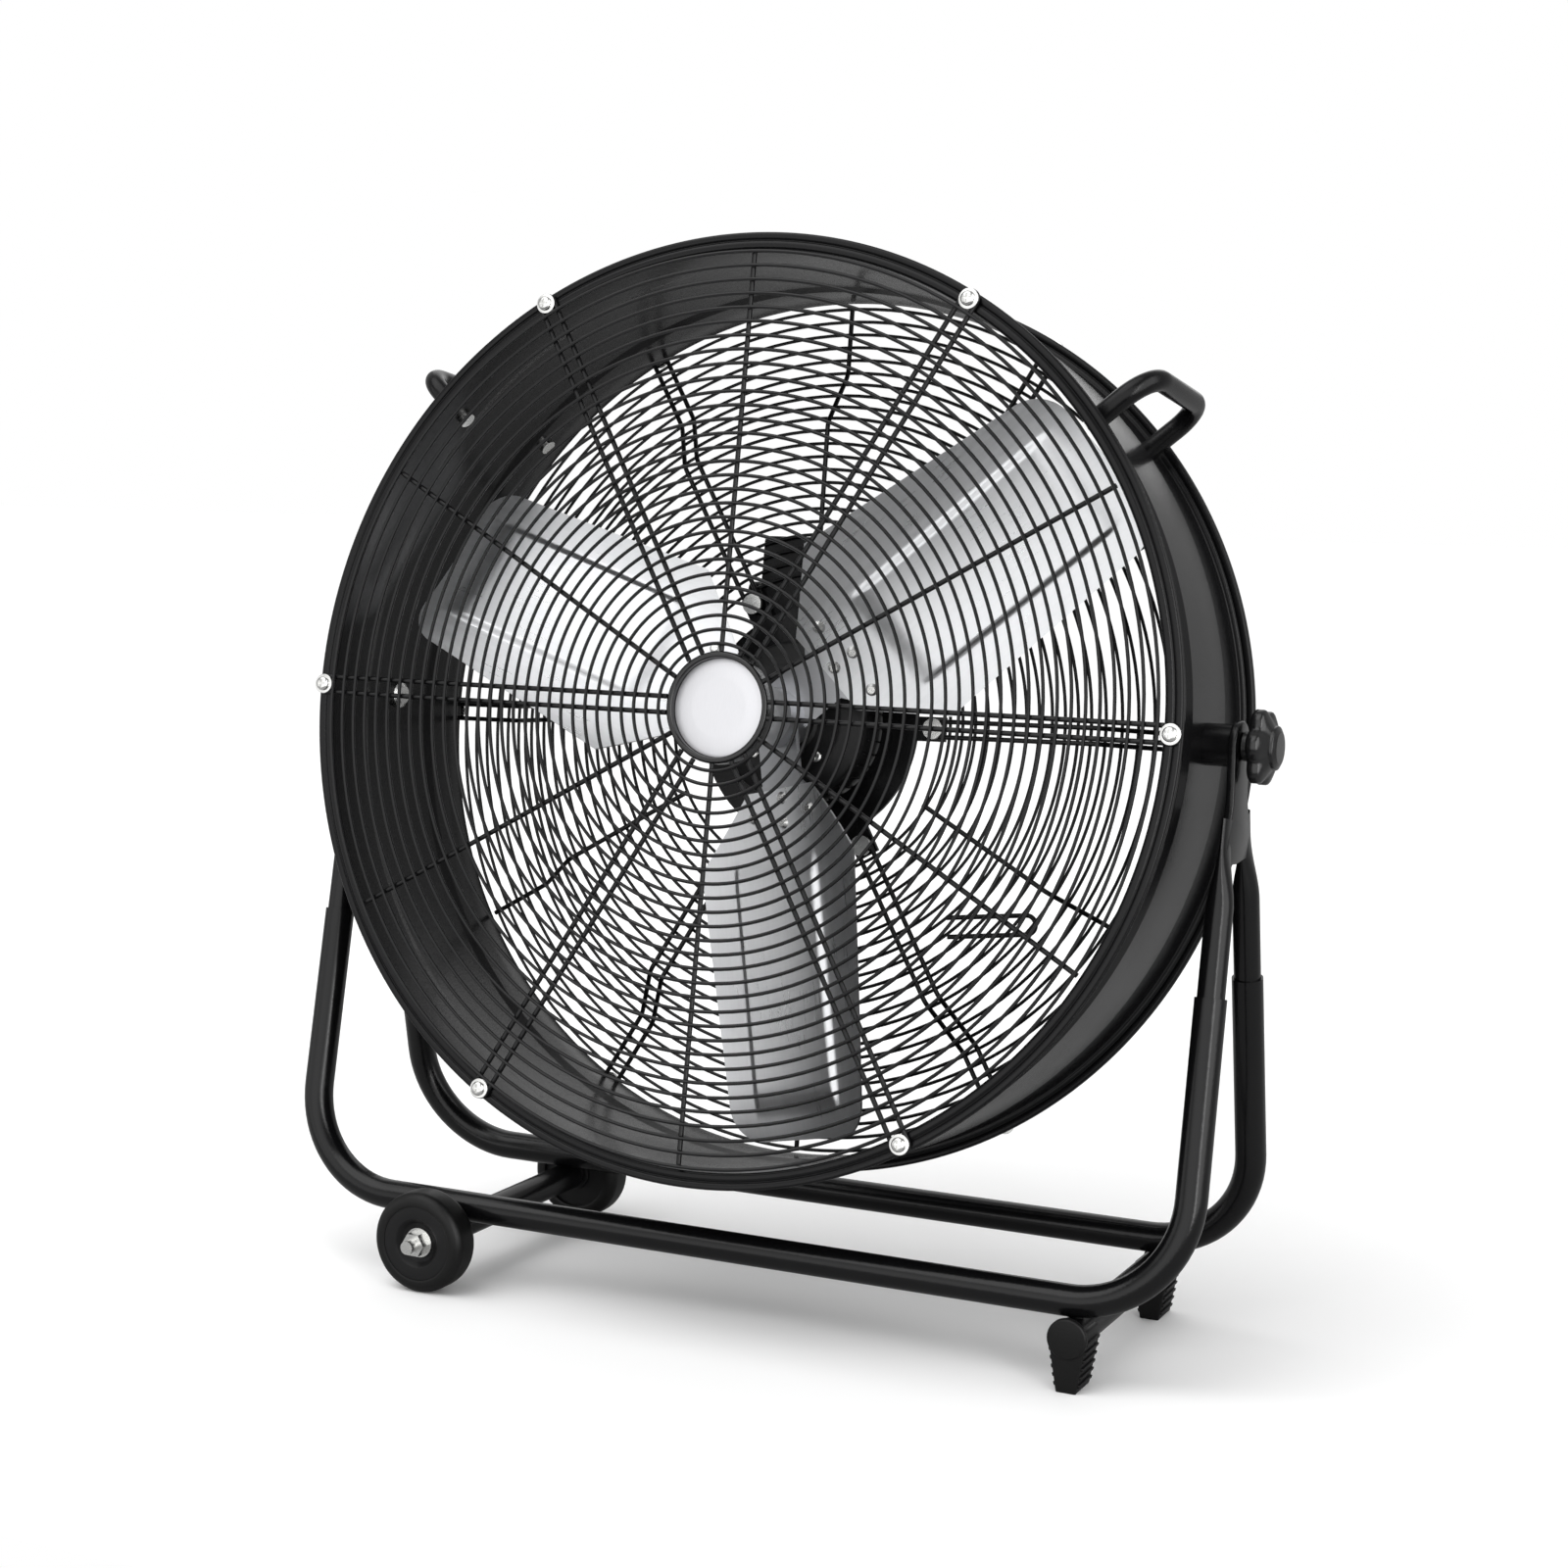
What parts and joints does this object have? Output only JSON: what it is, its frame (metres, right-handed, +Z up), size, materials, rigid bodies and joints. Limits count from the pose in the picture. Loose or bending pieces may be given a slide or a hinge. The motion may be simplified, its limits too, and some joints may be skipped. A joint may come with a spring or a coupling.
{
  "type": "floor fan",
  "caption": "Drum fan with wire grilles and pitched blades, tilting between the yokes of a bent tube frame with wheels on one side and rubber feet on the other.",
  "frame": {"origin": "on the floor, under the middle of the object", "axes": "+X to the right along the tilt axis as seen from the front, +Y to the back, +Z up"},
  "size_m": [0.7536, 0.285, 0.7742],
  "materials": {
    "black_powder_coat": "satin black powder coat",
    "black_coated_wire": "satin black powder coat on wire",
    "motor_paint": "semi-matt black paint",
    "zinc_plated_steel": "bright zinc plate",
    "bare_steel": "turned steel",
    "core_steel": "stacked steel sheet",
    "copper_winding": "lacquered copper wire",
    "blade_aluminium": "mill-finish pressed sheet",
    "badge_silver": "brushed silver disc",
    "knob_plastic": "glossy black moulding",
    "moulded_nylon": "matt black moulding",
    "wheel_tyre": "matt black solid tyre",
    "wheel_hub": "matt black moulding",
    "foot_rubber": "matt black ribbed rubber"
  },
  "bodies": {
    "base": {"front_frame_tube": "black_powder_coat", "rear_frame_tube": "black_powder_coat", "left_yoke": "black_powder_coat", "right_yoke": "black_powder_coat", "axle_cross_tube": "black_powder_coat", "foot_cross_tube": "black_powder_coat", "front_foot": "foot_rubber", "rear_foot": "foot_rubber", "wheel_axle": "zinc_plated_steel", "axle_bushings": "moulded_nylon", "axle_washers": "zinc_plated_steel", "axle_nuts": "zinc_plated_steel"},
    "front_wheel": {"front_wheel_tyre": "wheel_tyre", "front_wheel_hub": "wheel_hub"},
    "rear_wheel": {"rear_wheel_tyre": "wheel_tyre", "rear_wheel_hub": "wheel_hub"},
    "drum": {"drum_shell": "black_powder_coat", "front_inner_rings": "black_coated_wire", "front_outer_rings": "black_coated_wire", "front_spokes": "black_coated_wire", "rear_inner_rings": "black_coated_wire", "rear_outer_rings": "black_coated_wire", "rear_spokes": "black_coated_wire", "cord_hook": "black_coated_wire", "badge_ring": "knob_plastic", "badge_disc": "badge_silver", "grille_screws": "zinc_plated_steel", "grille_washers": "zinc_plated_steel", "left_handle": "black_powder_coat", "right_handle": "black_powder_coat", "handle_plugs": "moulded_nylon", "handle_bolts": "zinc_plated_steel", "pivot_bolts": "zinc_plated_steel", "pivot_spacers": "black_powder_coat", "motor_housing": "motor_paint", "motor_front_cover": "motor_paint", "motor_rear_cover": "motor_paint", "motor_flange": "black_powder_coat", "flange_screws": "zinc_plated_steel", "stator_core": "core_steel", "stator_windings": "copper_winding", "motor_bearings": "bare_steel", "switch_box": "black_powder_coat", "switch_box_cover": "black_powder_coat", "box_screws": "zinc_plated_steel", "rotary_switch": "moulded_nylon", "capacitor": "moulded_nylon", "cable_gland": "moulded_nylon"},
    "rotor": {"rotor_shaft": "bare_steel", "rotor_core": "core_steel", "blade_spider": "bare_steel", "blade_1": "blade_aluminium", "blade_2": "blade_aluminium", "blade_3": "blade_aluminium", "blade_rivets": "zinc_plated_steel", "hub_nut": "zinc_plated_steel"},
    "left_knob": {"left_clamp_knob": "knob_plastic", "left_knob_cap": "knob_plastic"},
    "right_knob": {"right_clamp_knob": "knob_plastic", "right_knob_cap": "knob_plastic"},
    "speed_dial": {"speed_knob": "knob_plastic"}
  },
  "joints": [
    {"name": "drum_tilt", "type": "hinge", "parent": "base", "child": "drum", "pos_m": [0, 0, 0.43], "axis": [1, 0, 0], "range_deg": [-81.5, 98.5]},
    {"name": "rotor_spin", "type": "hinge", "parent": "drum", "child": "rotor", "pos_m": [0, 0, 0.43], "axis": [0, 0.989, -0.1478], "continuous": true},
    {"name": "front_wheel_spin", "type": "hinge", "parent": "base", "child": "front_wheel", "pos_m": [-0.222, -0.1164, 0.0375], "axis": [0, 1, 0], "continuous": true},
    {"name": "rear_wheel_spin", "type": "hinge", "parent": "base", "child": "rear_wheel", "pos_m": [-0.222, 0.1164, 0.0375], "axis": [0, 1, 0], "continuous": true},
    {"name": "right_knob_turn", "type": "hinge", "parent": "drum", "child": "right_knob", "pos_m": [0.36, 0, 0.43], "axis": [1, 0, 0], "range_deg": [0, 360]},
    {"name": "left_knob_turn", "type": "hinge", "parent": "drum", "child": "left_knob", "pos_m": [-0.36, 0, 0.43], "axis": [-1, 0, 0], "range_deg": [0, 360]},
    {"name": "speed_dial_turn", "type": "hinge", "parent": "drum", "child": "speed_dial", "pos_m": [0, 0.11575, 0.52797], "axis": [0, 0.989, -0.1478], "range_deg": [0, 135]}
  ]
}
